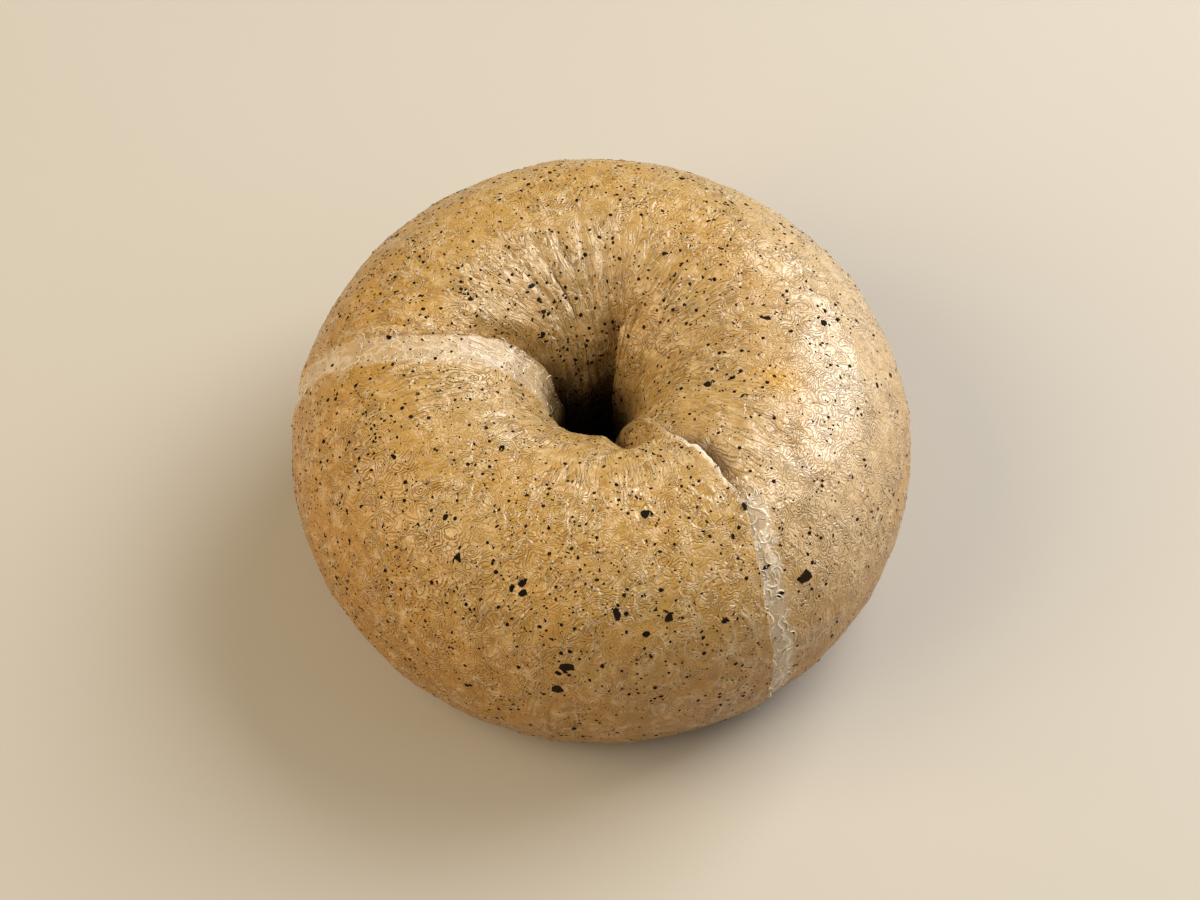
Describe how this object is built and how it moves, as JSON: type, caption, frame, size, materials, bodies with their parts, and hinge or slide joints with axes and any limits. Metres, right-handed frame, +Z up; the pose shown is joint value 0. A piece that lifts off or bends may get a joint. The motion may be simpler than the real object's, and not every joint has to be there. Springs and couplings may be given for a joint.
{
  "type": "bagel",
  "caption": "Plump hand-rolled bread bagel with a narrow hole off its middle, a lapped seam with an open flap and a tucked seam, dark specks in a pale golden crust.",
  "frame": {"origin": "middle of the bounding box's base, on the surface that the bagel rests on", "axes": "+Z up, +Y towards the back, away from the lapped seam's open flap, which lies at the front right, +X to the right"},
  "size_m": [0.1048, 0.1052, 0.0483],
  "materials": {
    "dough": "satin"
  },
  "bodies": {
    "root": {"bagel": "dough"}
  },
  "joints": []
}
